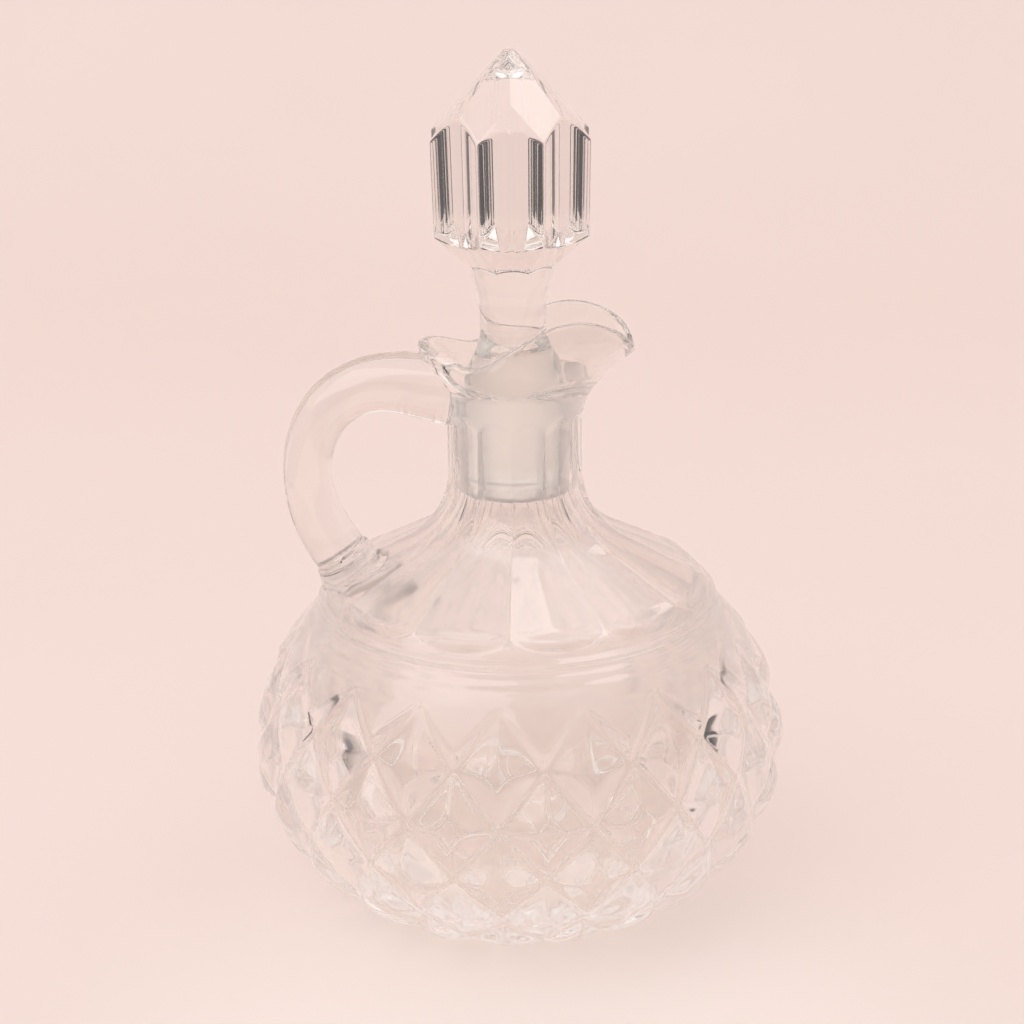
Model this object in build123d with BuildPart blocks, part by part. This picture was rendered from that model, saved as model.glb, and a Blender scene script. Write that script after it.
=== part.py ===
"""Oil cruet in pressed glass: a diamond-point bowl with a fluted shoulder and neck, a lip
drawn out to a spout, an applied glass handle and a faceted stopper ground into the neck.

Millimetres, +Z up. The origin is on the bowl's axis, on the face that it stands on.
The spout points to +X and the handle stands on the -X side.
"""
from build123d import *
import math
import os

# Bowl: quarter ellipses above and below the belly, from the foot up to the ring
bowl_radius = 50.3
base_radius = 29.3
ring_radius = 34.83
belly_height = 29.5
ring_height = 58.5
outline_steps = 12
bead_radius = 0.9
bead_offset = 0.3

# Diamond points: rows of groove crossings, from under the plain band down past the base
diamond_columns = 18
diamond_turn = -4.7
band_width = 5.9
row_pitches = (10.0, 9.9, 10.3, 9.8, 9.0, 8.6)
groove_depths = (0.3, 2.7, 2.5, 2.4, 2.2, 1.8, 1.6)
point_rise = 1.3
foot_overlap = 5.0
band_flare = 4.4
belt_clearance = 12.0
belt_headroom = 3.5

# Base: a standing ring round a shallow recess with pressed rays
foot_width = 6.3
recess_depth = 1.2
ray_count = 18
ray_inner = 3.0
ray_margin = 3.0
ray_width = 3.6
ray_depth = 0.8
ray_taper = 40.0

# Shoulder and neck, with one flute for each thirty degrees
neck_radius = 12.3
neck_length = 11.2
waist_radius = 15.0
shoulder_slope = 27.5
shoulder_overhang = 1.37
shoulder_edge_radius = 7.0
shoulder_edge_sink = 1.49
shoulder_edge_turn = 47.5
shoulder_steps = (0.0, 0.045, 0.1, 0.16, 0.235, 0.32, 0.41, 0.49, 0.57, 0.7, 0.85, 1.0)
neck_steps = (0.375, 0.69, 0.86, 1.0)
flute_count = 12
flute_turn = -3.0
neck_hollow = 0.45
shoulder_hollow = 1.2
flute_fade = 3.5
flute_trace = 0.02

# Lip: how far half ellipses reach past the neck's radius, at heights above the neck's top
lip_rises = (-0.6, 3.0, 6.0, 9.0, 12.0, 16.0, 21.0)
lip_rears = (0.15, 0.45, 1.4, 3.4, 4.8, 5.3, 5.4)
lip_fronts = (0.15, 1.2, 3.5, 6.9, 10.5, 11.3, 10.7)
lip_sides = (0.15, 0.25, 0.2, -0.2, -0.9, -2.1, -3.3)
lip_walls = (3.1, 3.0, 2.8, 2.5, 2.3, 2.2, 2.2)
lip_side_walls = (3.1, 3.0, 2.8, 2.4, 1.8, 1.15, 1.0)
funnel_rise = 4.5
rim_points = (
    (-24.0, 15.0),
    (-17.3, 13.3),
    (-12.5, 11.6),
    (-7.5, 10.5),
    (-2.4, 12.7),
    (2.4, 15.4),
    (8.0, 17.7),
    (12.5, 18.1),
    (17.0, 17.0),
    (20.2, 15.0),
    (23.2, 11.4),
    (27.0, 6.0),
)
trim_rise = 28.0

# Hollow inside, from the floor up to the ground bore
floor_height = 7.0
floor_inset = 9.3
bowl_wall = 7.5
hollow_lift = 0.5
shoulder_wall = 3.0
throat_curve = 17.0

# Stopper plug and the bore ground to it
plug_sink = 14.0
plug_length = 19.5
plug_bottom_radius = 8.1
plug_top_radius = 9.15
fit_clearance = 0.05
plug_edge = 0.5
bore_relief = 1.0

# Stopper stem and finial, stretch by stretch from the plug up to the tip
flare_length = 4.5
flare_radius = 7.4
stem_length = 7.0
stem_radius = 5.9
collar_length = 7.3
collar_radius = 7.1
foot_length = 3.1
bevel_length = 5.9
bevel_flat = 7.6
body_length = 17.7
body_low_flat = 13.75
body_high_flat = 14.1
finial_sides = 8
crown_length = 15.0
crown_slope = 54.8
tip_blunting = 0.9

# Handle: middle of the rod from the neck's axis, height above the neck's top, rod radius
handle_sink = 2.4
handle_start = (4.0, 6.7)
handle_points = (
    (-15.0, 4.6, 6.3),
    (-21.2, 5.4, 5.6),
    (-27.6, 4.7, 5.1),
    (-34.0, 0.4, 4.75),
    (-37.4, -6.5, 4.5),
    (-37.9, -13.5, 4.5),
    (-36.0, -21.0, 4.85),
)
pad_reach = 3.1
pad_rise = 7.9
pad_slope = 32.1
pad_radius = 5.05
pad_flare = 0.35
pad_foot_shift = 5.7
pad_foot_length = 9.2
pad_foot_width = 7.0
pad_foot_rise = 0.3

# Angles in degrees, and places worked out from the sizes above
full_turn = 360
half_turn = 180
quarter_turn = 90
slope = math.radians(shoulder_slope)
side_angle = half_turn / finial_sides
bowl_rise = (ring_height - belly_height) / math.sqrt(1 - (ring_radius / bowl_radius) ** 2)
bowl_drop = belly_height / math.sqrt(1 - (base_radius / bowl_radius) ** 2)
edge_center_x = ring_radius + shoulder_overhang - shoulder_edge_radius
edge_center_z = ring_height - shoulder_edge_sink
edge_x = edge_center_x + shoulder_edge_radius * math.sin(slope)
edge_z = edge_center_z + shoulder_edge_radius * math.cos(slope)
slope_x = neck_radius + waist_radius * (1 - math.sin(slope))
slope_z = edge_z + (edge_x - slope_x) * math.tan(slope)
waist_height = slope_z + waist_radius * math.cos(slope)
neck_top = waist_height + neck_length
plug_bottom = neck_top - plug_sink
plug_top = plug_bottom + plug_length
flare_height = plug_top + flare_length
stem_height = flare_height + stem_length
collar_height = stem_height + collar_length
bevel_height = collar_height + foot_length
body_low = bevel_height + bevel_length
body_high = body_low + body_length
finial_tip = body_high + crown_length
pad_center_x = -edge_center_x - pad_reach
pad_center_z = ring_height + pad_rise

os.makedirs("parts", exist_ok=True)


def bowl_outline(height):
    """Radius of the smooth bowl at a height."""
    half_axis = bowl_rise if height > belly_height else bowl_drop
    share = (height - belly_height) / half_axis
    return bowl_radius * math.sqrt(1.0 - share * share)


def shoulder_outline(height):
    """Radius of the shoulder and neck at a height, on the ridges between the flutes."""
    if height >= waist_height:
        return neck_radius
    if height >= slope_z:
        drop = waist_height - height
        return neck_radius + waist_radius - math.sqrt(waist_radius**2 - drop**2)
    if height >= edge_z:
        return slope_x + (slope_z - height) / math.tan(slope)
    return edge_center_x + math.sqrt(shoulder_edge_radius**2 - (height - edge_center_z) ** 2)


def flute_middle(height):
    """Radius in the middle of a flute at a height: a flat panel with a slight hollow."""
    ridge = shoulder_outline(height)
    share = (ridge - neck_radius) / (ring_radius - neck_radius)
    hollow = neck_hollow + (shoulder_hollow - neck_hollow) * share
    panel = ridge * math.cos(math.pi / flute_count) - hollow
    near_end = min(height - ring_height, neck_top - height)
    fade = min(1.0, max(flute_trace, near_end / flute_fade))
    return ridge + (panel - ridge) * fade


def polar(radius, degrees):
    angle = math.radians(degrees)
    return radius * math.sin(angle), -radius * math.cos(angle)


def crossing_heights():
    """Heights of the rows of crossings, from under the plain band to past the base."""
    top = ring_height - band_width
    scale = (top + foot_overlap) / sum(row_pitches)
    heights = [top]
    for pitch in row_pitches:
        heights.append(heights[-1] - pitch * scale)
    return heights


def belt_ring(row, height):
    """Corners of the diamond belt at one row, groove crossings and points in turn.

    A point stands out past the smooth bowl, which trims it to a low dome.
    """
    outline = bowl_outline(max(height, 0.0)) + min(height, 0.0)
    point_radius = outline + (band_flare if row == 0 else point_rise)
    ring = []
    for column in range(2 * diamond_columns):
        crossing = (row + column) % 2 == 0
        radius = outline - groove_depths[row] if crossing else point_radius
        x, y = polar(radius, diamond_turn + column * column_step)
        ring.append((x, y, height))
    return ring


def triangle(a, b, c):
    return Face(Wire.make_polygon([a, b, c], close=True))


def diamond_belt():
    """Closed polyhedron whose flanks are the four-sided points; it flares above the band."""
    count = 2 * diamond_columns
    rings = [belt_ring(row, height) for row, height in enumerate(crossing_heights())]
    top = []
    for column in range(count):
        x, y = polar(bowl_radius + belt_clearance, diamond_turn + column * column_step)
        top.append((x, y, ring_height + belt_headroom))
    faces = []
    for row, upper in enumerate(rings[:-1]):
        lower = rings[row + 1]
        for column in range(count):
            after = (column + 1) % count
            if (row + column) % 2 == 0:
                faces.append(triangle(upper[column], upper[after], lower[after]))
                faces.append(triangle(upper[column], lower[after], lower[column]))
            else:
                faces.append(triangle(upper[column], upper[after], lower[column]))
                faces.append(triangle(upper[after], lower[after], lower[column]))
    for column in range(count):
        after = (column + 1) % count
        faces.append(triangle(top[column], top[after], rings[0][column]))
        faces.append(triangle(top[after], rings[0][after], rings[0][column]))
    faces.append(Face(Wire.make_polygon(top, close=True)))
    faces.append(Face(Wire.make_polygon(rings[-1], close=True)))
    return Solid(Shell(faces))


def fluted_section(height):
    """Sketch of the neck or shoulder at a height: one arc for each flute."""
    ridge = shoulder_outline(height)
    middle = flute_middle(height)
    step = full_turn / flute_count
    with BuildSketch(Plane.XY.offset(height)) as section:
        with BuildLine():
            for flute in range(flute_count):
                start = flute_turn + flute * step
                ThreePointArc(
                    polar(ridge, start),
                    polar(middle, start + step / 2),
                    polar(ridge, start + step),
                )
        make_face()
    return section


def lip_section(height, rear, front, side):
    """Sketch of the lip at a height: half an ellipse behind the axis and half before it."""
    with BuildSketch(Plane.XY.offset(height)) as section:
        with BuildLine():
            EllipticalCenterArc((0, 0), front, side, -quarter_turn, arc_size=half_turn)
            EllipticalCenterArc((0, 0), rear, side, quarter_turn, arc_size=half_turn)
        make_face()
    return section


def octagon(flat, height, turn=0.0):
    """Sketch of the finial at a height, a flat to the front unless it is turned."""
    with BuildSketch(Plane.XY.offset(height)) as section:
        RegularPolygon(flat, finial_sides, major_radius=False, rotation=side_angle + turn)
    return section


column_step = half_turn / diamond_columns
pad_tilt = math.radians(pad_slope)
pad_plane = Plane(
    origin=(pad_center_x, 0, pad_center_z),
    x_dir=(math.cos(pad_tilt), 0, math.sin(pad_tilt)),
    z_dir=(-math.sin(pad_tilt), 0, math.cos(pad_tilt)),
)
bore_bottom_radius = plug_bottom_radius + fit_clearance
bore_growth = (plug_top_radius - plug_bottom_radius) / plug_length
funnel_height = neck_top + funnel_rise

# Vessel: bowl, shoulder, neck and lip pressed as one piece of glass
with BuildPart() as vessel:
    with BuildSketch(Plane.XZ):
        with BuildLine():
            outline_heights = [ring_height * i / outline_steps for i in range(outline_steps + 1)]
            bowl_side = Spline(*[(bowl_outline(height), height) for height in outline_heights])
            Polyline(bowl_side @ 1, (0, ring_height), (0, 0), bowl_side @ 0)
        make_face()
    revolve(axis=Axis.Z)
    add(diamond_belt(), mode=Mode.INTERSECT)

    # Shoulder and neck with their flutes
    for step in shoulder_steps:
        height = ring_height + (waist_height - ring_height) * step
        add(fluted_section(height).sketch)
    for step in neck_steps:
        add(fluted_section(waist_height + neck_length * step).sketch)
    loft()

    # Fine bead under the flutes
    with BuildSketch(Plane.XZ):
        with Locations((ring_radius + bead_offset, ring_height)):
            Circle(bead_radius)
    revolve(axis=Axis.Z)

    # Outside of the lip
    for rise, rear, front, side in zip(lip_rises, lip_rears, lip_fronts, lip_sides):
        reaches = (neck_radius + rear, neck_radius + front, neck_radius + side)
        add(lip_section(neck_top + rise, *reaches).sketch)
    loft()

    # Pad on the shoulder that carries the handle's foot
    with BuildSketch(pad_plane):
        Circle(pad_radius + pad_flare)
    with BuildSketch(Plane.XY.offset(ring_height + pad_foot_rise)):
        with Locations((pad_center_x + pad_foot_shift, 0)):
            Ellipse(pad_foot_length, pad_foot_width)
    loft()

    # Smooth hollow of the bowl and shoulder
    with BuildSketch(Plane.XZ):
        with BuildLine():
            cavity_radius = bowl_radius - bowl_wall
            cavity_belly = belly_height + hollow_lift
            floor_radius = base_radius - floor_inset
            edge_wall = shoulder_edge_radius - shoulder_wall
            throat_radius = plug_bottom_radius
            throat_x = throat_radius + throat_curve
            wall_x = slope_x - shoulder_wall * math.sin(slope)
            wall_z = slope_z - shoulder_wall * math.cos(slope)
            throat_rise = (throat_curve - (throat_x - wall_x) * math.sin(slope)) / math.cos(slope)
            throat_z = wall_z + throat_rise
            slope_start = (
                throat_x - throat_curve * math.sin(slope),
                throat_z - throat_curve * math.cos(slope),
            )
            slope_end = (
                edge_center_x + edge_wall * math.sin(slope),
                edge_center_z + edge_wall * math.cos(slope),
            )
            wall_angle = quarter_turn - shoulder_slope - shoulder_edge_turn
            edge_center = (edge_center_x, edge_center_z)
            edge_arc = CenterArc(edge_center, edge_wall, wall_angle, shoulder_edge_turn)
            corner = (floor_radius, cavity_belly)
            corner_width = cavity_radius - floor_radius
            corner_drop = cavity_belly - floor_height
            Polyline((0, throat_z), (0, floor_height), (floor_radius, floor_height))
            EllipticalCenterArc(corner, corner_width, corner_drop, -quarter_turn, arc_size=quarter_turn)
            TangentArc((cavity_radius, cavity_belly), edge_arc @ 0, tangent=(0, 1))
            Line(slope_end, slope_start)
            CenterArc((throat_x, throat_z), throat_curve, half_turn, quarter_turn - shoulder_slope)
            Line((throat_radius, throat_z), (0, throat_z))
        make_face()
    revolve(axis=Axis.Z, mode=Mode.SUBTRACT)

    # Ground bore for the plug, and the funnel of the lip above it
    with BuildSketch(Plane.XZ):
        with BuildLine():
            low_radius = bore_bottom_radius - bore_growth * bore_relief
            high_radius = bore_bottom_radius + bore_growth * (funnel_height - plug_bottom)
            Polyline(
                (0, throat_z),
                (throat_radius, throat_z),
                (low_radius, plug_bottom - bore_relief),
                (high_radius, funnel_height),
                (0, funnel_height),
                close=True,
            )
        make_face()
    revolve(axis=Axis.Z, mode=Mode.SUBTRACT)
    add(lip_section(funnel_height, high_radius, high_radius, high_radius).sketch)
    for rise, rear, front, side, wall, side_wall in zip(
        lip_rises, lip_rears, lip_fronts, lip_sides, lip_walls, lip_side_walls
    ):
        if rise > funnel_rise:
            rear_reach = neck_radius + rear - wall
            front_reach = neck_radius + front - wall
            side_reach = neck_radius + side - side_wall
            add(lip_section(neck_top + rise, rear_reach, front_reach, side_reach).sketch)
    loft(mode=Mode.SUBTRACT)

    # Rim: low beside the handle, high over the spout
    with BuildSketch(Plane.XZ):
        with BuildLine():
            rim = Spline(*[(x, neck_top + rise) for x, rise in rim_points])
            trim_top = neck_top + trim_rise
            Polyline(rim @ 1, (rim_points[-1][0], trim_top), (rim_points[0][0], trim_top), rim @ 0)
        make_face()
    extrude(amount=bowl_radius, both=True, mode=Mode.SUBTRACT)

    # Shallow recess and pressed rays under the base
    recess_radius = base_radius - foot_width
    ray_outer = recess_radius - ray_margin
    ray_middle = (ray_inner + ray_outer) / 2
    with BuildSketch():
        Circle(recess_radius)
    extrude(amount=recess_depth, mode=Mode.SUBTRACT)
    with BuildSketch(Plane.XY.offset(recess_depth)):
        with PolarLocations(0, ray_count):
            Polygon(
                (ray_inner, 0),
                (ray_middle, -ray_width / 2),
                (ray_outer, 0),
                (ray_middle, ray_width / 2),
                align=None,
            )
    extrude(amount=ray_depth, taper=ray_taper, mode=Mode.SUBTRACT)

# Handle: a rod of glass applied to the neck under the lip and seated on the pad
with BuildPart() as handle:
    start_rise, start_radius = handle_start
    route = [(handle_sink - neck_radius, neck_top + start_rise, start_radius)]
    for x, rise, radius in handle_points:
        route.append((x, neck_top + rise, radius))
    route.append((pad_center_x, pad_center_z, pad_radius))
    with BuildLine(Plane.XZ) as rod:
        rod_line = Spline(*[(x, z) for x, z, radius in route])
    for x, z, radius in route:
        share = rod_line.param_at_point((x, 0, z))
        with BuildSketch(Plane(rod_line @ share, x_dir=(0, 1, 0), z_dir=rod_line % share)):
            Circle(radius)
    loft()
    add(vessel.part, mode=Mode.SUBTRACT)
    add(handle.solids().sort_by(SortBy.VOLUME)[-1], mode=Mode.REPLACE)

# Stopper: tapered ground plug, waisted stem and an eight-sided pointed finial in one piece
with BuildPart() as stopper:
    with BuildSketch(Plane.XZ):
        with BuildLine():
            plug_line = Polyline(
                (0, plug_bottom),
                (plug_bottom_radius - plug_edge, plug_bottom),
                (plug_bottom_radius, plug_bottom + plug_edge),
                (plug_top_radius, plug_top),
            )
            stem_line = Spline(
                plug_line @ 1,
                (flare_radius, flare_height),
                (stem_radius, stem_height),
                (collar_radius, collar_height),
                (bevel_flat, bevel_height + plug_edge),
            )
            Polyline(stem_line @ 1, (0, bevel_height + plug_edge), plug_line @ 0)
        make_face()
    revolve(axis=Axis.Z)

    # Body of the finial, its lower bevel and the eight steep facets of the crown
    crown_flat = body_high_flat - crown_length / math.tan(math.radians(crown_slope))
    add(octagon(bevel_flat, bevel_height).sketch)
    add(octagon(body_low_flat, body_low).sketch)
    add(octagon(body_high_flat, body_high).sketch)
    add(octagon(crown_flat, finial_tip).sketch)
    loft(ruled=True)

    # Eight kite facets that run from the body's corners to the blunt tip
    kite_growth = body_high_flat / math.cos(math.radians(side_angle)) / crown_length
    kite_foot = kite_growth * (finial_tip - plug_bottom)
    add(octagon(kite_foot, plug_bottom, side_angle).sketch)
    add(octagon(kite_growth * tip_blunting, finial_tip - tip_blunting, side_angle).sketch)
    loft(ruled=True, mode=Mode.INTERSECT)

vessel.part.label = "vessel"
handle.part.label = "handle"
stopper.part.label = "stopper"
export_step(vessel.part, "parts/vessel.step")
export_step(handle.part, "parts/handle.step")
export_step(stopper.part, "parts/stopper.step")
for node in (vessel, handle, stopper):
    size = node.part.bounding_box().size
    print(node.part.label, round(size.X, 1), round(size.Y, 1), round(size.Z, 1), "mm")
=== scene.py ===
"""Looks of a pressed-glass oil cruet: bowl with diamond points, fluted shoulder and neck, a lip
drawn out to a spout, an applied handle and a faceted stopper with a ground plug.

Sizes are in millimetres here and are turned into metres where a mesh or a material is made;
lamps and their aims are in metres.
"""
import math

import bpy
import numpy as np
from mathutils import Matrix, Vector


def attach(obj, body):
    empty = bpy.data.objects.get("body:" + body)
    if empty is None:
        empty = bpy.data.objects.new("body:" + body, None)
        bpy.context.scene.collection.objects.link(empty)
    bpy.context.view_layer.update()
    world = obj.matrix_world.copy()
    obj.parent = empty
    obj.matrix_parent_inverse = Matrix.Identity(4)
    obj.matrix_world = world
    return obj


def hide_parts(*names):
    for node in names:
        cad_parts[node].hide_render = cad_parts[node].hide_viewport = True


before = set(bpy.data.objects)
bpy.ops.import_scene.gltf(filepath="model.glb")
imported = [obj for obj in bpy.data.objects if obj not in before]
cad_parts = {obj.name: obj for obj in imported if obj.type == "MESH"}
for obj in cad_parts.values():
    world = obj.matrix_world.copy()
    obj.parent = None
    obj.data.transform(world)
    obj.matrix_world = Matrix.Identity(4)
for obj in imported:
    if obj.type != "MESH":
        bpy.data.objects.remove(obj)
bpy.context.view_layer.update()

METRE = 0.001

# Bowl, as in the CAD source
bowl_radius = 50.3
belly_height = 29.5
bowl_rise = 40.2
bowl_drop = 36.3
ring_height = 58.5
diamond_columns = 18
diamond_turn = -4.7
crossing_heights = (52.6, 42.6, 32.7, 22.4, 12.6, 3.6, -5.0)
groove_depths = (0.3, 2.7, 2.5, 2.4, 2.2, 1.8, 1.6)
point_rise = 1.3
point_inset = 0.25
dome_round = 0.5
band_flare = 4.4
band_top_gap = 0.3
groove_fade = 4
lowest_row = 0.3

# Fine raised lines round the plain band: height, width, how far they stand out; they lie on
# the wall outside this radius and above this height
band_lines = ((58.5, 0.9, 1.1), (56.6, 0.45, 0.25), (55.0, 0.45, 0.2))
band_least_radius = 30
band_least_height = 50

# Base: a recess with pressed rays inside a flat standing ring
recess_radius = 23.0
recess_depth = 1.2
recess_edge = 1.2
ray_count = 18
ray_middle = 11.5
ray_length = 17.0
ray_width = 3.6
ray_depth = 0.8
ray_margin = 0.8
foot_inset = 0.6
foot_shares = (0.3, 0.6, 0.9)

# Shoulder, neck and flutes
neck_radius = 12.3
waist_radius = 15.0
waist_height = 82.8
shoulder_slope = 27.5
shoulder_run = 13.6
shoulder_edge_radius = 7.0
shoulder_edge_turn = 47.5
flute_count = 12
flute_turn = -3.0
neck_hollow = 0.45
shoulder_hollow = 1.2
flute_low = 60.2
flute_high = 95.2
flute_end_round = 1.8
flute_end_width = 1.3

# Lip: half ellipses behind and in front of the axis, at rising heights
lip_heights = (93.4, 97.0, 100.0, 103.0, 106.0, 110.0, 115.0)
lip_rears = (12.45, 12.75, 13.7, 15.7, 17.1, 17.6, 17.7)
lip_fronts = (12.45, 13.5, 15.8, 19.2, 22.8, 23.6, 23.0)
lip_sides = (12.45, 12.55, 12.5, 12.1, 11.4, 10.2, 9.0)
inner_heights = (98.5, 100.0, 103.0, 106.0, 110.0, 115.0)
inner_rears = (9.15, 10.9, 13.2, 14.8, 15.4, 15.5)
inner_fronts = (9.15, 13.0, 16.7, 20.5, 21.4, 20.8)
inner_sides = (9.15, 9.7, 9.7, 9.6, 9.05, 8.0)
rim_stations = (-24.0, -17.3, -12.5, -7.5, -2.4, 2.4, 8.0, 12.5, 17.0, 20.2, 23.2, 27.0)
rim_levels = (109.0, 107.3, 105.6, 104.5, 106.7, 109.4, 111.7, 112.1, 111.0, 109.0, 105.4, 100.0)
rim_round = 0.95

# The rim's height is found in rounds, each moving part of the way to the cut
rim_guess = 107.0
rim_rounds = 40
rim_step = 0.4

# Hollow inside
floor_height = 7.0
floor_radius = 20.0
cavity_radius = 42.8
cavity_belly = 30.0
shoulder_wall = 3.0
throat_radius = 8.1
throat_curve = 17.0
bore_low = 79.0
bore_low_radius = 8.1
bore_top = 98.5
bore_top_radius = 9.15

# Stopper
plug_bottom = 80.0
plug_top = 99.5
plug_bottom_radius = 8.1
plug_top_radius = 9.15
plug_edge = 0.5
stem_stations = (99.5, 101.5, 104.0, 107.5, 111.0, 114.5, 118.3, 121.4)
stem_radii = (9.15, 8.55, 7.4, 6.15, 5.9, 6.2, 7.1, 7.6)
collar_height = 118.3
bevel_height = 121.4
bevel_flat = 7.6
bevel_least = 0.1
body_low = 127.3
body_high = 145.0
body_low_flat = 13.75
body_high_flat = 14.1
finial_tip = 160.0
finial_side_turn = 45.0

# Crown: where each steep facet starts and its slope, from the front round; a facet shapes only
# the directions that it faces
crown_starts = (14.1, 14.1, 13.3, 14.1, 14.1, 14.1, 13.3, 14.1)
crown_slopes = (54.8, 65.0, 48.5, 65.0, 54.8, 65.0, 48.5, 65.0)
crown_facing = 0.3
uncut_radius = 100.0
tip_blunting = 0.9
tip_round = 0.5
panel_hollow = 1.5
seam_turns = (0.0, 180.0)
seam_height = 0.4
seam_width = 0.45

# Handle: the middle of the rod and its radius, from the neck round to the pad
handle_points = (
    (-11.2, 98.0, 6.7),
    (-15.0, 98.6, 6.3),
    (-21.2, 99.4, 5.6),
    (-27.6, 98.7, 5.1),
    (-34.0, 94.4, 4.75),
    (-37.4, 87.5, 4.5),
    (-37.9, 80.5, 4.5),
    (-36.0, 73.0, 4.85),
    (-32.3, 66.4, 5.05),
)
pad_slope = 32.1
pad_flare = 0.35
pad_foot_center = -26.6
pad_foot_reach = 9.2
pad_foot_width = 7.0
pad_foot_height = 58.8

# Least square of the reach at which the rod's end meets the wall
rod_end_least = 1.0

# Mesh steps
cell_steps = 16
column_count = 2 * diamond_columns * cell_steps
band_steps = 16
ray_steps = 34
edge_steps = 24
slope_steps = 26
waist_steps = 22
neck_steps = 20
lip_steps = 30
rim_steps = 12
funnel_steps = 20
bore_steps = 20
throat_steps = 8
throat_arc_steps = 16
inner_slope_steps = 14
inner_edge_steps = 12
wall_steps = 44
floor_steps = 20
floor_middle = 0.6
rod_columns = 64
rod_rows = 110
pad_rows = 12
stopper_columns = 384
plug_middle = 0.5
plug_rows = 12
stem_rows = 40
finial_rows = 180
tip_rows = 6
edge_rounds = 2
column_angles = diamond_turn + np.arange(column_count) * 360.0 / column_count

# Glass: its own tone, its unevenly polished skin, and what light loses on the way to a shadow
glass_ior = 1.52
glass_tint = (0.972, 0.957, 0.945, 1)
shadow_tint = (0.99, 0.985, 0.98, 1)
polish_scale = 140.0
polish_detail = 3.0
polish_roughness = 0.03

# Ground glass of the plug and the bore
ground_tint = (1.0, 0.96, 0.93, 1)
ground_clarity = 0.85
ground_roughness = 0.42
ground_margin = 0.1

# Cloudy skin of the hollow: an egg round the bowl's middle, and a cone under the shoulder
cloud_height = 33.0
cloud_radius = 46.0
cloud_reach = 31.0
cloud_slant = 149.4
cloud_shoulder = 45.0
cloud_edge = 70.4
cloud_edge_slant = 0.62
bowl_haze = 0.075
shoulder_haze = 0.2

# Camera, from the photograph's perspective
camera_distance = 450.0
camera_elevation = 19.55
camera_roll = -0.89
camera_target = (-0.70, 0.0, 74.15)
camera_lens = 85.83
camera_sensor = 36.0
camera_clip = 0.01

# Floor that curves up into the backdrop, and a wide ground a hair below it
floor_front = -1100.0
floor_depth = 420.0
floor_bend = 380.0
bend_steps = 24
backdrop_top = 900.0
backdrop_half = 1300.0
ground_half = 6000.0
ground_drop = 0.05

# Cloth on the floor, with a painted pool of light before the foot, standing in for light that the
# glass focuses there
cloth_roughness = 0.9
cloth_scale = 9.0
cloth_detail = 6.0
cloth_low = (0.89, 0.742, 0.695, 1)
cloth_high = (0.915, 0.768, 0.72, 1)
painted_light_pool_color = (0.99, 0.845, 0.785, 1)
painted_pool_forward = 60.0
painted_pool_outer = 100.0
painted_pool_inner = 20.0

# Sheet of cloth that the glass shows: half its width, its front edge, how far back its sides
# end in the dim room, and the tone of that room's floor
cloth_half = 250.0
cloth_front = -430.0
cloth_back = 100.0
dim_color = (0.12, 0.11, 0.11, 1)

# Room: its light, what the camera sees past the ground, and the walls and ceiling in the glass
room_light = (1.0, 0.985, 0.975, 1)
room_strength = 0.72
room_behind = (0.66, 0.56, 0.52, 1)
wall_color = (0.84, 0.69, 0.62, 1)
ceiling_color = (1.15, 1.09, 1.06, 1)
ceiling_level = 0.72
ceiling_soft = 0.08

# Dark parts of the room: lowest and highest level and how far back, all as parts of a direction
dark_zones = ((-0.60, 0.27, 0.15), (-0.10, 0.32, 0.70))
zone_level_soft = 0.03
zone_back_soft = 0.05
dark_color = (0.04, 0.04, 0.045, 1)
less_dark_color = (0.26, 0.24, 0.23, 1)
dark_scale = 7.0
dark_detail = 3.0
dark_from = 0.4
dark_to = 0.6

# Lamps: name, place, aim, side and power
lamps = (
    ("key", (-0.9, -0.8, 1.3), (0, 0, 0.06), 1.5, 9.0),
    ("fill", (0.51, 0.04, 1.25), (0, 0, 0.1), 0.55, 2.1),
)

# Light goes on between the many faces of the glass, so that none of them ends black
light_bounces = 32

# Between no bounce and one, to tell them apart
first_bounce = 0.5


def smooth_curve(stations, values, at):
    """Natural cubic spline through the values, read at other stations."""
    x = np.asarray(stations, float)
    y = np.asarray(values, float)
    step = np.diff(x)
    count = len(x)
    system = np.eye(count)
    bend = np.zeros(count)
    for i in range(1, count - 1):
        system[i, i - 1] = step[i - 1]
        system[i, i] = 2 * (step[i - 1] + step[i])
        system[i, i + 1] = step[i]
        bend[i] = 6 * ((y[i + 1] - y[i]) / step[i] - (y[i] - y[i - 1]) / step[i - 1])
    second = np.linalg.solve(system, bend)
    at = np.clip(np.asarray(at, float), x[0], x[-1])
    i = np.clip(np.searchsorted(x, at, side="right") - 1, 0, count - 2)
    h = step[i]
    low = (x[i + 1] - at) / h
    high = (at - x[i]) / h
    curve = (low**3 - low) * second[i] + (high**3 - high) * second[i + 1]
    return low * y[i] + high * y[i + 1] + curve * h * h / 6


def ease(value):
    """Soft step from nought to one."""
    value = np.clip(value, 0, 1)
    return value * value * (3 - 2 * value)


def line(start, end, steps):
    """Evenly spaced points of a line, without its first."""
    start = np.array(start)
    way = np.array(end) - start
    return [tuple(start + way * share) for share in np.linspace(0, 1, steps)[1:]]


def arc(center, radii, turns):
    """Points of an arc, or of part of an ellipse, at the given turns."""
    points = []
    for turn in turns:
        across = center[0] + radii[0] * math.cos(turn)
        points.append((across, center[1] + radii[1] * math.sin(turn)))
    return points


def bowl_outline(height):
    """Radius of the smooth bowl that the points of the diamonds reach."""
    half_axis = np.where(height > belly_height, bowl_rise, bowl_drop)
    share = (height - belly_height) / half_axis
    return bowl_radius * np.sqrt(np.maximum(1 - share * share, 0))


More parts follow.
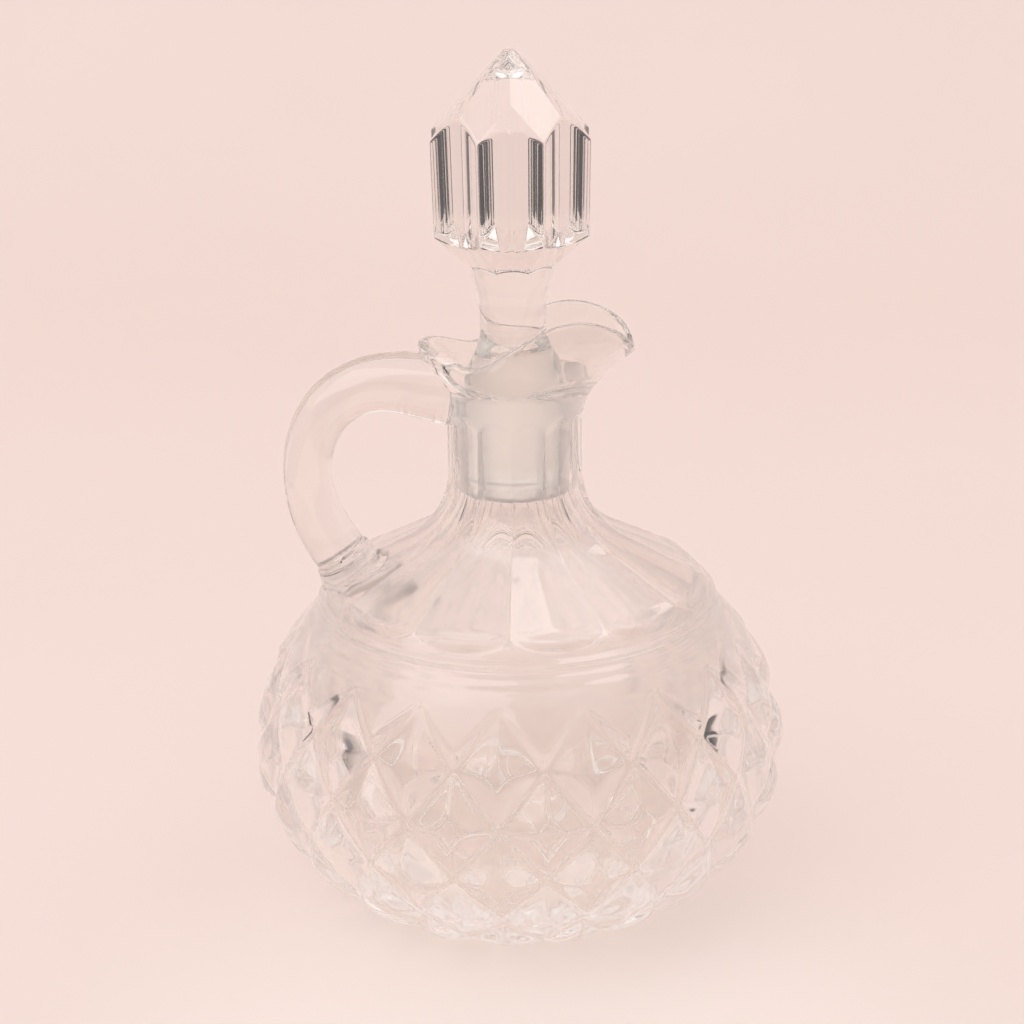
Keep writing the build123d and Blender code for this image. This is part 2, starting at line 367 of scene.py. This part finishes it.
def belt_depth(row, across, down):
    """How far the diamonds lie below the bowl's outline, for one row of lattice cells.

    The flanks rise from the groove towards a point that the smooth bowl trims to a low dome.
    """
    groove = groove_depths[row] + (groove_depths[row + 1] - groove_depths[row]) * down
    cell = np.floor(across)
    across = across - cell
    falling = (row + cell) % 2 == 0
    away = np.where(falling, across - down, 1 - across - down)
    flank = groove - (groove + point_rise) * np.abs(away)
    dome = (flank + np.sqrt(flank**2 + dome_round**2)) / 2
    if row == 0:
        opened = groove * (1 - away) - band_flare * away
        dome = np.where(away > 0, np.maximum(opened, 0), dome)
    return dome + point_inset


def shoulder_line():
    """Slope of the shoulder, the upper end of its straight part and the centre of its edge."""
    slope = math.radians(shoulder_slope)
    upper_x = neck_radius + waist_radius * (1 - math.sin(slope))
    upper_z = waist_height - waist_radius * math.cos(slope)
    center_x = upper_x + shoulder_run * math.cos(slope) - shoulder_edge_radius * math.sin(slope)
    center_z = upper_z - shoulder_run * math.sin(slope) - shoulder_edge_radius * math.cos(slope)
    return slope, np.array((upper_x, upper_z)), np.array((center_x, center_z))


def shoulder_path():
    """Points along the ridge of the shoulder and neck, from the ring up."""
    slope, upper, center = shoulder_line()
    square = math.pi / 2 - slope
    ring_turn = math.asin((ring_height - center[1]) / shoulder_edge_radius)
    edge = (shoulder_edge_radius, shoulder_edge_radius)
    points = arc(center, edge, np.linspace(ring_turn, square, edge_steps))
    points += line(points[-1], upper, slope_steps)
    waist_center = (neck_radius + waist_radius, waist_height)
    waist = (-waist_radius, -waist_radius)
    points += arc(waist_center, waist, np.linspace(square, 0, waist_steps)[1:])
    neck_top = (neck_radius, lip_heights[0])
    return points + line((neck_radius, waist_height), neck_top, neck_steps)


def flute_fade(height, across):
    """One inside a flute, falling to nothing past its two rounded ends."""
    low = flute_low + flute_end_round * across**2
    high = flute_high - flute_end_round * across**2
    return ease((height - low) / flute_end_width) * ease((high - height) / flute_end_width)


def fluted(radius, height, angle):
    """Radius with the flutes pressed in; the angle is counted from the front, in degrees."""
    step = 360.0 / flute_count
    across = ((angle - flute_turn) % step - step / 2) / (step / 2)
    ring_radius = float(bowl_outline(ring_height))
    share = np.clip((radius - neck_radius) / (ring_radius - neck_radius), 0, 1)
    hollow = neck_hollow + (shoulder_hollow - neck_hollow) * share
    flat = math.cos(math.radians(step / 2)) / np.cos(np.radians(across * step / 2))
    panel = radius * flat - hollow * (1 - across**2)
    return radius + (panel - radius) * flute_fade(height, across)


def lip_radius(height, angle, heights, rears, fronts, sides):
    """Radius of one skin of the lip; the angle is counted from the front."""
    around = np.radians(angle)
    toward_spout = np.sin(around)
    across = np.cos(around)
    rear = smooth_curve(heights, rears, height)
    front = smooth_curve(heights, fronts, height)
    side = smooth_curve(heights, sides, height)
    long = np.where(toward_spout > 0, front, rear)
    return 1 / np.sqrt((toward_spout / long) ** 2 + (across / side) ** 2)


def outer_lip(height, angle):
    """Radius of the lip's outside."""
    return lip_radius(height, angle, lip_heights, lip_rears, lip_fronts, lip_sides)


def inner_lip(height, angle):
    """Radius of the lip's inside."""
    return lip_radius(height, angle, inner_heights, inner_rears, inner_fronts, inner_sides)


def rim_height(angle):
    """Height of the rim all round, where the lip meets the S of the cut."""
    height = np.full_like(angle, rim_guess)
    for _ in range(rim_rounds):
        along = outer_lip(height, angle) * np.sin(np.radians(angle))
        cut = smooth_curve(rim_stations, rim_levels, along)
        height = (1 - rim_step) * height + rim_step * cut
    return height


def cavity_path():
    """Points of the hollow's outline from the bore's foot down to the middle of the floor."""
    slope, upper, center = shoulder_line()
    square = math.pi / 2 - slope
    wall_x = upper[0] - shoulder_wall * math.sin(slope)
    wall_z = upper[1] - shoulder_wall * math.cos(slope)
    throat_x = throat_radius + throat_curve
    throat_z = wall_z + (throat_curve - (throat_x - wall_x) * math.sin(slope)) / math.cos(slope)
    throat = (-throat_curve, -throat_curve)
    points = line((throat_radius, bore_low), (throat_radius, throat_z), throat_steps)
    points += arc((throat_x, throat_z), throat, np.linspace(0, square, throat_arc_steps)[1:])
    inner_edge = shoulder_edge_radius - shoulder_wall
    edge_start = center + inner_edge * np.array((math.sin(slope), math.cos(slope)))
    points += line(points[-1], edge_start, inner_slope_steps)
    edge_end = square - math.radians(shoulder_edge_turn)
    edge = (inner_edge, inner_edge)
    points += arc(center, edge, np.linspace(square, edge_end, inner_edge_steps)[1:])
    drop = points[-1][1] - cavity_belly
    inset = cavity_radius - points[-1][0]
    wall_radius = (inset**2 + drop**2) / (2 * inset)
    wall_center = (cavity_radius - wall_radius, cavity_belly)
    wall_turns = np.linspace(math.asin(drop / wall_radius), 0, wall_steps)[1:]
    points += arc(wall_center, (wall_radius, wall_radius), wall_turns)
    basin = (cavity_radius - floor_radius, floor_height - cavity_belly)
    basin_turns = np.linspace(0, math.pi / 2, wall_steps)[1:]
    points += arc((floor_radius, cavity_belly), basin, basin_turns)
    middle = (floor_middle, floor_height)
    return points + line((floor_radius, floor_height), middle, floor_steps)


def ring_points(radius, height, angle):
    """Points all round at one radius and height, or at one of each per angle."""
    around = np.radians(angle)
    radius = np.broadcast_to(radius, np.shape(angle))
    height = np.broadcast_to(height, np.shape(angle))
    return np.stack([radius * np.sin(around), -radius * np.cos(around), height], axis=-1)


def belt_rows():
    """Rows of points over the diamond belt, from the base up to the ring."""
    across = (column_angles - diamond_turn) / (180.0 / diamond_columns)
    rows = []
    last = len(crossing_heights) - 2
    for row in range(last, -1, -1):
        high = crossing_heights[row]
        low = crossing_heights[row + 1]
        for share in np.arange(cell_steps) / cell_steps:
            height = low + (high - low) * share
            if height < lowest_row:
                continue
            radius = bowl_outline(height) - belt_depth(row, across, 1 - share)
            rows.append(ring_points(radius, height, column_angles))
    band_low = crossing_heights[0]
    opened = np.abs((across % 2) - 1)
    for height in np.linspace(band_low, ring_height - band_top_gap, band_steps):
        fall = (height - band_low) / (ring_height - band_low)
        depth = np.maximum(groove_depths[0] * (1 - opened) * (1 - groove_fade * fall), 0)
        radius = bowl_outline(height) - depth - point_inset
        rows.append(ring_points(radius, height, column_angles))
    return np.array(rows)


def softened(rows, rounds):
    """Rounds the edges as the fire polish does, by averaging each point with its neighbours."""
    for _ in range(rounds):
        inside = rows[1:-1]
        near = (
            np.roll(inside, 1, axis=1) + np.roll(inside, -1, axis=1) + rows[:-2] + rows[2:]
        ) / 4
        rows[1:-1] = (inside + near) / 2
    return rows


def base_rows(foot):
    """Rows from the middle of the base, over the rays and the recess, to the standing ring."""
    step = 360.0 / ray_count
    turned = np.radians(np.abs((column_angles + step / 2) % step - step / 2))
    inside = np.linspace(floor_middle, recess_radius - ray_margin, ray_steps)
    rows = []
    for radius in np.append(inside, recess_radius):
        spread = abs(ray_middle - radius) / (ray_length / 2)
        width = ray_width / 2 * max(1 - spread, 0)
        groove = 0.0
        if width > 0:
            groove = ray_depth * np.clip(1 - turned * radius / width, 0, 1)
        lift = recess_depth * ease((recess_radius - radius) / recess_edge)
        rows.append(ring_points(radius, lift + groove, column_angles))
    for share in foot_shares:
        radius = recess_radius + (foot - foot_inset - recess_radius) * share
        rows.append(ring_points(radius, 0.0, column_angles))
    return np.array(rows)


def outer_rows():
    """Outside of the vessel, from the middle of the base up to the rim."""
    belt = belt_rows()
    foot = np.hypot(belt[0, :, 0], belt[0, :, 1])
    shoulder = []
    for radius, height in shoulder_path():
        shoulder.append(ring_points(fluted(radius, height, column_angles), height, column_angles))
    rows = np.concatenate([base_rows(foot), belt, np.array(shoulder)])
    height = rows[..., 2]
    radius = np.hypot(rows[..., 0], rows[..., 1])
    on_wall = (radius > band_least_radius) & (height > band_least_height)
    for level, width, stand in band_lines:
        bump = stand * np.sqrt(np.clip(1 - ((height - level) / width) ** 2, 0, 1))
        rows[..., :2] *= (1 + np.where(on_wall, bump, 0) / radius)[..., None]
    top = rim_height(column_angles)
    lip = []
    for share in np.linspace(0, 1, lip_steps)[1:]:
        level = lip_heights[0] + (top - rim_round - lip_heights[0]) * share
        skin = fluted(outer_lip(level, column_angles), level, column_angles)
        lip.append(ring_points(skin, level, column_angles))
    return softened(np.concatenate([rows, np.array(lip)]), edge_rounds), top


def inner_rows(top):
    """Over the rim, down the funnel and the bore, and round the hollow to its floor."""
    level = top - rim_round
    outside = outer_lip(level, column_angles)
    inside = inner_lip(level, column_angles)
    middle = (outside + inside) / 2
    half = (outside - inside) / 2
    rows = []
    for turn in np.linspace(0, math.pi, rim_steps)[1:]:
        height = level + rim_round * math.sin(turn)
        rows.append(ring_points(middle + half * math.cos(turn), height, column_angles))
    for share in np.linspace(1, 0, funnel_steps)[1:]:
        height = bore_top + (level - bore_top) * share
        rows.append(ring_points(inner_lip(height, column_angles), height, column_angles))
    bore = line((bore_top_radius, bore_top), (bore_low_radius, bore_low), bore_steps)
    for radius, height in bore + cavity_path():
        rows.append(ring_points(radius, height, column_angles))
    return np.array(rows)


def grid_mesh(name, rows):
    """Closed mesh from rows of points all round, capped at both ends."""
    count, columns = rows.shape[:2]
    points = rows.reshape(-1, 3) * METRE
    first = points[:columns].mean(axis=0)
    last = points[-columns:].mean(axis=0)
    points = np.concatenate([points, [first, last]])
    row = np.arange(count - 1)[:, None] * columns
    column = np.arange(columns)[None, :]
    after = (column + 1) % columns
    quads = np.stack([row + column, row + after, row + columns + after, row + columns + column], -1)
    faces = [tuple(quad) for quad in quads.reshape(-1, 4).tolist()]
    start = count * columns
    base = (count - 1) * columns
    for i in range(columns):
        following = (i + 1) % columns
        faces.append((start, following, i))
        faces.append((start + 1, base + i, base + following))
    mesh = bpy.data.meshes.new(name)
    mesh.from_pydata(points.tolist(), [], faces)
    mesh.validate()
    made = bpy.data.objects.new(name, mesh)
    bpy.context.scene.collection.objects.link(made)
    return made


def rod():
    """The handle's rod, from inside the neck's wall to just under the pad's seat."""
    points = np.array(handle_points)
    gaps = np.hypot(np.diff(points[:, 0]), np.diff(points[:, 1]))
    stations = np.concatenate([[0], np.cumsum(gaps)])
    at = np.linspace(0, stations[-1], rod_rows)
    x = smooth_curve(stations, points[:, 0], at)
    z = smooth_curve(stations, points[:, 1], at)
    radius = smooth_curve(stations, points[:, 2], at)
    way_x = np.gradient(x, at)
    way_z = np.gradient(z, at)
    length = np.hypot(way_x, way_z)
    way_x /= length
    way_z /= length
    around = np.linspace(0, 2 * math.pi, rod_columns, endpoint=False)
    rows = []
    for i in range(rod_rows):
        across = radius[i] * np.cos(around)
        up = radius[i] * np.sin(around)
        rows.append(np.stack([x[i] - up * way_z[i], across, z[i] + up * way_x[i]], axis=-1))
    rows = np.array(rows)
    end_y = rows[0, :, 1]
    end_z = rows[0, :, 2]
    level = np.clip(end_z, bore_top, lip_heights[-1])
    angle = np.degrees(np.arctan2(-end_y, -rows[0, :, 0])) - 90
    lip_wall = (outer_lip(level, angle) + inner_lip(level, angle)) / 2
    neck_wall = (bore_top_radius + neck_radius) / 2
    wall = np.where(end_z > bore_top, lip_wall, neck_wall)
    rows[0, :, 0] = -np.sqrt(np.maximum(wall**2 - end_y**2, rod_end_least))
    return grid_mesh("handle_rod", rows)


def pad():
    """Pressed pad on the shoulder under the handle's foot."""
    tilt = math.radians(pad_slope)
    seat_x, seat_z, seat_radius = handle_points[-1]
    around = np.linspace(0, 2 * math.pi, rod_columns, endpoint=False)
    along = (seat_radius + pad_flare) * np.cos(around)
    across = (seat_radius + pad_flare) * np.sin(around)
    upper = np.stack(
        [seat_x + along * math.cos(tilt), across, seat_z + along * math.sin(tilt)], axis=-1
    )
    lower = np.stack(
        [
            pad_foot_center + pad_foot_reach * np.cos(around),
            pad_foot_width * np.sin(around),
            np.full(rod_columns, pad_foot_height),
        ],
        axis=-1,
    )
    rows = [lower + (upper - lower) * share for share in np.linspace(0, 1, pad_rows)]
    return grid_mesh("handle_pad", np.array(rows))


def joined(piece, *others):
    """The pieces as one closed body of glass."""
    for other in others:
        union = piece.modifiers.new("join", "BOOLEAN")
        union.operation = "UNION"
        union.solver = "EXACT"
        union.object = other
        graph = bpy.context.evaluated_depsgraph_get()
        mesh = bpy.data.meshes.new_from_object(piece.evaluated_get(graph))
        piece.modifiers.clear()
        piece.data = mesh
    for other in others:
        bpy.data.objects.remove(other)
    return piece


def octagon(flat, angle, turn=0.0):
    """Radius of an octagon with a flat to the front, or turned by some degrees."""
    step = finial_side_turn
    return flat / np.cos(np.radians((angle - turn + step / 2) % step - step / 2))


def finial_radius(height, angle):
    """Radius of the stem's head and the finial: the least of its column, bevel and facets."""
    step = finial_side_turn
    off = (angle + step / 2) % step - step / 2
    across = np.tan(np.radians(off)) / math.tan(math.radians(step / 2))
    taper = (body_high_flat - body_low_flat) / (body_high - body_low)
    flat = body_low_flat + taper * (height - body_low)
    column = octagon(flat, angle) - panel_hollow * (1 - across**2)
    for seam_turn in seam_turns:
        aside = np.radians((angle - seam_turn + 180) % 360 - 180) * column
        column = column + seam_height * np.exp(-((aside / seam_width) ** 2))
    rise = body_low - bevel_height
    bevel_here = bevel_flat + (body_low_flat - bevel_flat) * (height - bevel_height) / rise
    bevel = octagon(max(bevel_here, bevel_least), angle)
    stem = float(smooth_curve(stem_stations, stem_radii, height))
    steep = np.full_like(angle, uncut_radius)
    for side, (start, slope) in enumerate(zip(crown_starts, crown_slopes)):
        facing = np.cos(np.radians(angle - side * step))
        plane = start - (height - body_high) / math.tan(math.radians(slope))
        facet = plane / np.maximum(facing, crown_facing)
        steep = np.where(facing > crown_facing, np.minimum(steep, facet), steep)
    corner = body_high_flat / math.cos(math.radians(step / 2))
    kite = octagon(corner * (finial_tip - height) / (finial_tip - body_high), angle, step / 2)
    return np.minimum(np.minimum(column, np.maximum(bevel, stem)), np.minimum(steep, kite))


def stopper_mesh():
    """Ground plug, waisted stem and the faceted finial."""
    angle = np.arange(stopper_columns) * 360.0 / stopper_columns
    plug_foot = plug_bottom + plug_edge
    rows = [
        ring_points(plug_middle, plug_bottom, angle),
        ring_points(plug_bottom_radius - plug_edge, plug_bottom, angle),
    ]
    for share in np.linspace(0, 1, plug_rows):
        radius = plug_bottom_radius + (plug_top_radius - plug_bottom_radius) * share
        rows.append(ring_points(radius, plug_foot + (plug_top - plug_foot) * share, angle))
    for height in np.linspace(plug_top, collar_height, stem_rows)[1:]:
        radius = float(smooth_curve(stem_stations, stem_radii, height))
        rows.append(ring_points(radius, height, angle))
    shaped = []
    tip_height = finial_tip - tip_blunting - tip_round
    for height in np.linspace(collar_height, tip_height, finial_rows)[1:]:
        shaped.append(ring_points(finial_radius(height, angle), height, angle))
    tip_radius = finial_radius(tip_height, angle)
    for turn in np.linspace(0, math.pi / 2, tip_rows)[1:-1]:
        height = tip_height + tip_round * math.sin(turn)
        shaped.append(ring_points(tip_radius * math.cos(turn), height, angle))
    shaped = softened(np.array(shaped), edge_rounds)
    return grid_mesh("stopper_glass", np.concatenate([np.array(rows), shaped]))


def put(tree, value, socket):
    """Links a socket to another one, or gives it a plain value."""
    if isinstance(value, bpy.types.NodeSocket):
        tree.links.new(value, socket)
    else:
        socket.default_value = value


def node(tree, kind, **values):
    """A node with its settings and then its inputs, both by name."""
    made = tree.nodes.new(kind)
    for name, value in values.items():
        if name not in made.inputs:
            setattr(made, name, value)
    for name, value in values.items():
        if name in made.inputs:
            put(tree, value, made.inputs[name])
    return made


def maths(tree, operation, *terms):
    """Result of a sum with sockets and plain numbers."""
    made = node(tree, "ShaderNodeMath", operation=operation)
    for term, socket in zip(terms, made.inputs):
        put(tree, term, socket)
    return made.outputs["Value"]


def vector_maths(tree, operation, *terms):
    """Result of a sum with vectors; a length comes out as a number."""
    made = node(tree, "ShaderNodeVectorMath", operation=operation)
    for term, socket in zip(terms, made.inputs):
        put(tree, term, socket)
    return made.outputs["Value" if operation == "LENGTH" else "Vector"]


def blend(tree, share, first, second, data_type="FLOAT"):
    """Number or colour between the first, at a share of nought, and the second."""
    made = node(tree, "ShaderNodeMix", data_type=data_type)
    put(tree, share, made.inputs["Factor"])
    put(tree, first, made.inputs["A"])
    put(tree, second, made.inputs["B"])
    return made.outputs["Result"]


def either_shader(tree, share, first, second):
    """Shader between the first, at a share of nought, and the second."""
    made = node(tree, "ShaderNodeMixShader", Fac=share)
    put(tree, first, made.inputs[1])
    put(tree, second, made.inputs[2])
    return made.outputs["Shader"]


def step_between(tree, value, start, end, shape="SMOOTHSTEP"):
    """Nought up to the start and one from the end on; either may be the larger."""
    ends = {"From Min": start, "From Max": end}
    made = node(tree, "ShaderNodeMapRange", interpolation_type=shape, Value=value, **ends)
    return made.outputs["Result"]


def cloudy_noise(tree, place, scale, detail):
    """Soft random pattern between nought and one."""
    made = node(tree, "ShaderNodeTexNoise", Vector=place, Scale=scale, Detail=detail)
    return made.outputs["Fac"]


def cloudy_skin(tree, place, height, reach):
    """Masks of the hollow's whole cloudy skin, and of its part under the shoulder."""
    egg = (
        1 / (cloud_radius * METRE),
        1 / (cloud_radius * METRE),
        1 / (cloud_reach * METRE),
    )
    from_middle = vector_maths(tree, "SUBTRACT", place, (0, 0, cloud_height * METRE))
    size = vector_maths(tree, "LENGTH", vector_maths(tree, "MULTIPLY", from_middle, egg))
    in_bowl = maths(tree, "LESS_THAN", size, 1.0)
    run = 1 / math.tan(math.radians(shoulder_slope))
    slant = maths(tree, "MULTIPLY_ADD", height, run, reach)
    under_shoulder = maths(tree, "LESS_THAN", slant, cloud_slant * METRE)
    above_bowl = maths(tree, "GREATER_THAN", height, cloud_shoulder * METRE)
    edgeward = maths(tree, "MULTIPLY_ADD", height, cloud_edge_slant, reach)
    off_edge = maths(tree, "LESS_THAN", edgeward, cloud_edge * METRE)
    cone = maths(tree, "MULTIPLY", under_shoulder, above_bowl)
    in_shoulder = maths(tree, "MULTIPLY", cone, off_edge)
    return maths(tree, "MAXIMUM", in_bowl, in_shoulder), in_shoulder


def glass_material(name, ground_low, ground_high, ground_radius, cloudy):
    """Clear pressed glass; between two heights and inside a radius it is ground matt."""
    material = bpy.data.materials.new(name)
    material.use_nodes = True
    tree = material.node_tree
    tree.nodes.clear()
    place = node(tree, "ShaderNodeTexCoord").outputs["Object"]
    height = node(tree, "ShaderNodeSeparateXYZ", Vector=place).outputs["Z"]
    reach = vector_maths(tree, "LENGTH", vector_maths(tree, "MULTIPLY", place, (1, 1, 0)))
    above = maths(tree, "GREATER_THAN", height, ground_low * METRE)
    below = maths(tree, "LESS_THAN", height, ground_high * METRE)
    near = maths(tree, "LESS_THAN", reach, ground_radius * METRE)
    ground = maths(tree, "MULTIPLY", maths(tree, "MULTIPLY", above, below), near)
    polish = cloudy_noise(tree, place, polish_scale, polish_detail)
    rough = blend(tree, polish, 0.0, polish_roughness)
    rough = blend(tree, ground, rough, ground_roughness)
    if cloudy:
        cloud, under_shoulder = cloudy_skin(tree, place, height, reach)
        haze = blend(tree, under_shoulder, bowl_haze, shoulder_haze)
        rough = blend(tree, cloud, rough, haze)
    glass = node(tree, "ShaderNodeBsdfPrincipled", IOR=glass_ior, Roughness=rough)
    put(tree, blend(tree, ground, glass_tint, ground_tint, "RGBA"), glass.inputs["Base Color"])
    put(tree, blend(tree, ground, 1.0, ground_clarity), glass.inputs["Transmission Weight"])
    clear = node(tree, "ShaderNodeBsdfTransparent", Color=shadow_tint).outputs["BSDF"]
    to_lamp = node(tree, "ShaderNodeLightPath").outputs["Is Shadow Ray"]
    shader = either_shader(tree, to_lamp, glass.outputs["BSDF"], clear)
    node(tree, "ShaderNodeOutputMaterial", Surface=shader)
    return material


def seen_in_glass(tree):
    """One for rays from the camera that the glass reflects or lets through."""
    path = node(tree, "ShaderNodeLightPath").outputs
    either = maths(tree, "MAXIMUM", path["Is Glossy Ray"], path["Is Transmission Ray"])
    direct = maths(tree, "LESS_THAN", path["Diffuse Depth"], first_bounce)
    return maths(tree, "MULTIPLY", either, direct)


def thrown_back(tree):
    """One for rays that a face of the glass has thrown back at least once."""
    path = node(tree, "ShaderNodeLightPath")
    return maths(tree, "GREATER_THAN", path.outputs["Glossy Depth"], first_bounce)


def floor_material():
    """Pale cloth with a painted pool of light before the foot; past its edges the glass alone shows
    a dim room.
    """
    material = bpy.data.materials.new("pale_cloth")
    material.use_nodes = True
    tree = material.node_tree
    cloth = tree.nodes["Principled BSDF"]
    place = node(tree, "ShaderNodeTexCoord").outputs["Object"]
    weave = cloudy_noise(tree, place, cloth_scale, cloth_detail)
    tone = blend(tree, weave, cloth_low, cloth_high, "RGBA")
    # Painted pool of light: the cloth turns to a paler colour in a soft round patch ahead of the
    # foot
    from_painted_pool = vector_maths(tree, "ADD", place, (0, painted_pool_forward * METRE, 0))
    distance = vector_maths(tree, "LENGTH", from_painted_pool)
    painted_pool = step_between(tree, distance, painted_pool_outer * METRE, painted_pool_inner * METRE)
    put(tree, blend(tree, painted_pool, tone, painted_light_pool_color, "RGBA"), cloth.inputs["Base Color"])
    put(tree, cloth_roughness, cloth.inputs["Roughness"])
    split = node(tree, "ShaderNodeSeparateXYZ", Vector=place)
    aside = maths(tree, "ABSOLUTE", split.outputs["X"])
    beyond = maths(tree, "GREATER_THAN", aside, cloth_half * METRE)
    forward = maths(tree, "LESS_THAN", split.outputs["Y"], cloth_back * METRE)
    past_side = maths(tree, "MULTIPLY", beyond, forward)
    past_front = maths(tree, "LESS_THAN", split.outputs["Y"], cloth_front * METRE)
    off_cloth = maths(tree, "MAXIMUM", past_side, past_front)
    in_glass = maths(tree, "MULTIPLY", seen_in_glass(tree), thrown_back(tree))
    dim = node(tree, "ShaderNodeEmission", Color=dim_color).outputs["Emission"]
    share = maths(tree, "MULTIPLY", off_cloth, in_glass)
    shader = either_shader(tree, share, cloth.outputs["BSDF"], dim)
    put(tree, shader, tree.nodes["Material Output"].inputs["Surface"])
    return material


def staged(name, points, faces, material):
    """A piece of the stage, in millimetres, which is no part of the object."""
    mesh = bpy.data.meshes.new(name)
    mesh.from_pydata([tuple(value * METRE for value in point) for point in points], [], faces)
    mesh.shade_smooth()
    mesh.materials.append(material)
    made = bpy.data.objects.new(name, mesh)
    bpy.context.scene.collection.objects.link(made)


def sweep():
    """Floor that curves up into the backdrop, and the wide ground round it."""
    cloth = floor_material()
    profile = [(floor_front, 0.0), (0.0, 0.0), (floor_depth, 0.0)]
    turns = np.linspace(-math.pi / 2, 0, bend_steps)[1:]
    profile += arc((floor_depth, floor_bend), (floor_bend, floor_bend), turns)
    profile.append((floor_depth + floor_bend, backdrop_top))
    points = []
    for y, z in profile:
        points += [(-backdrop_half, y, z), (backdrop_half, y, z)]
    faces = [(2 * i, 2 * i + 1, 2 * i + 3, 2 * i + 2) for i in range(len(profile) - 1)]
    staged("floor", points, faces, cloth)
    corners = ((-1, -1), (1, -1), (1, 1), (-1, 1))
    ground = [(x * ground_half, y * ground_half, -ground_drop) for x, y in corners]
    staged("ground", ground, [(0, 1, 2, 3)], cloth)


def area_light(name, place, aim, side, power):
    """A square lamp whose own shape doesn't show through the glass."""
    light = bpy.data.lights.new(name, "AREA")
    light.shape = "RECTANGLE"
    light.size = side
    light.size_y = side
    light.energy = power
    lamp = bpy.data.objects.new(name, light)
    lamp.location = place
    lamp.rotation_euler = (Vector(place) - Vector(aim)).to_track_quat("Z", "Y").to_euler()
    lamp.visible_transmission = False
    bpy.context.scene.collection.objects.link(lamp)


def dark_parts(tree, back, level):
    """Mask of the room's dark parts, from two parts of a ray's direction."""
    dark = 0.0
    for low, high, far in dark_zones:
        rise = step_between(tree, level, low - zone_level_soft, low + zone_level_soft)
        fall = step_between(tree, level, high + zone_level_soft, high - zone_level_soft)
        front = step_between(tree, back, far + zone_back_soft, far - zone_back_soft)
        zone = maths(tree, "MULTIPLY", maths(tree, "MULTIPLY", rise, fall), front)
        dark = maths(tree, "MAXIMUM", dark, zone)
    return dark


def surround(tree, color, strength):
    """Light of one colour from all round."""
    made = node(tree, "ShaderNodeBackground", Color=color, Strength=strength)
    return made.outputs["Background"]


def room():
    """Pale light all round; what the glass shows of the room is pale with darker parts."""
    world = bpy.data.worlds.new("studio")
    bpy.context.scene.world = world
    world.use_nodes = True
    tree = world.node_tree
    tree.nodes.clear()
    direction = node(tree, "ShaderNodeTexCoord").outputs["Generated"]
    split = node(tree, "ShaderNodeSeparateXYZ", Vector=direction)
    level = split.outputs["Z"]
    low = ceiling_level - ceiling_soft
    overhead = step_between(tree, level, low, ceiling_level + ceiling_soft)
    walls = blend(tree, overhead, wall_color, ceiling_color, "RGBA")
    patches = cloudy_noise(tree, direction, dark_scale, dark_detail)
    uneven = step_between(tree, patches, dark_from, dark_to, "LINEAR")
    corners = blend(tree, uneven, dark_color, less_dark_color, "RGBA")
    dark = maths(tree, "MULTIPLY", dark_parts(tree, split.outputs["Y"], level), thrown_back(tree))
    color = blend(tree, dark, walls, corners, "RGBA")
    seen = surround(tree, color, 1.0)
    light = surround(tree, room_light, room_strength)
    behind = surround(tree, room_behind, 1.0)
    to_camera = node(tree, "ShaderNodeLightPath").outputs["Is Camera Ray"]
    plain = either_shader(tree, to_camera, light, behind)
    shader = either_shader(tree, seen_in_glass(tree), plain, seen)
    node(tree, "ShaderNodeOutputWorld", Surface=shader)


def camera():
    """The photograph's camera, with its slight roll."""
    elevation = math.radians(camera_elevation)
    roll = math.radians(camera_roll)
    back = Vector((0, -math.cos(elevation), math.sin(elevation)))
    right = Vector((1, 0, 0))
    up = back.cross(right)
    place = Vector(camera_target) * METRE + back * camera_distance * METRE
    turned_right = right * math.cos(roll) + up * math.sin(roll)
    turned_up = up * math.cos(roll) - right * math.sin(roll)
    lens = bpy.data.cameras.new("camera")
    lens.lens = camera_lens
    lens.sensor_width = camera_sensor
    lens.clip_start = camera_clip
    made = bpy.data.objects.new("camera", lens)
    turn = Matrix((turned_right, turned_up, back)).transposed().to_4x4()
    made.matrix_world = Matrix.Translation(place) @ turn
    bpy.context.scene.collection.objects.link(made)
    bpy.context.scene.camera = made


def dressed(piece, material):
    """Smooth shading and the one material of a piece."""
    piece.data.shade_smooth()
    piece.data.materials.clear()
    piece.data.materials.append(material)


outside, rim = outer_rows()
vessel = grid_mesh("vessel_glass", np.concatenate([outside, inner_rows(rim)]))
vessel = joined(vessel, pad(), rod())
bore_reach = bore_top_radius + ground_margin
dressed(vessel, glass_material("pressed_glass", bore_low, bore_top, bore_reach, True))
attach(vessel, "vessel")
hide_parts("vessel", "handle")

stopper = stopper_mesh()
plug_reach = plug_top_radius + ground_margin
plug_low = plug_bottom + plug_edge
dressed(stopper, glass_material("stopper_glass", plug_low, plug_top, plug_reach, False))
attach(stopper, "stopper")
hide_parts("stopper")

sweep()
room()
for lamp_values in lamps:
    area_light(*lamp_values)
camera()
bpy.context.scene.view_settings.view_transform = "Standard"
bpy.context.scene.cycles.max_bounces = light_bounces
bpy.context.scene.cycles.glossy_bounces = light_bounces
bpy.context.scene.cycles.transmission_bounces = light_bounces
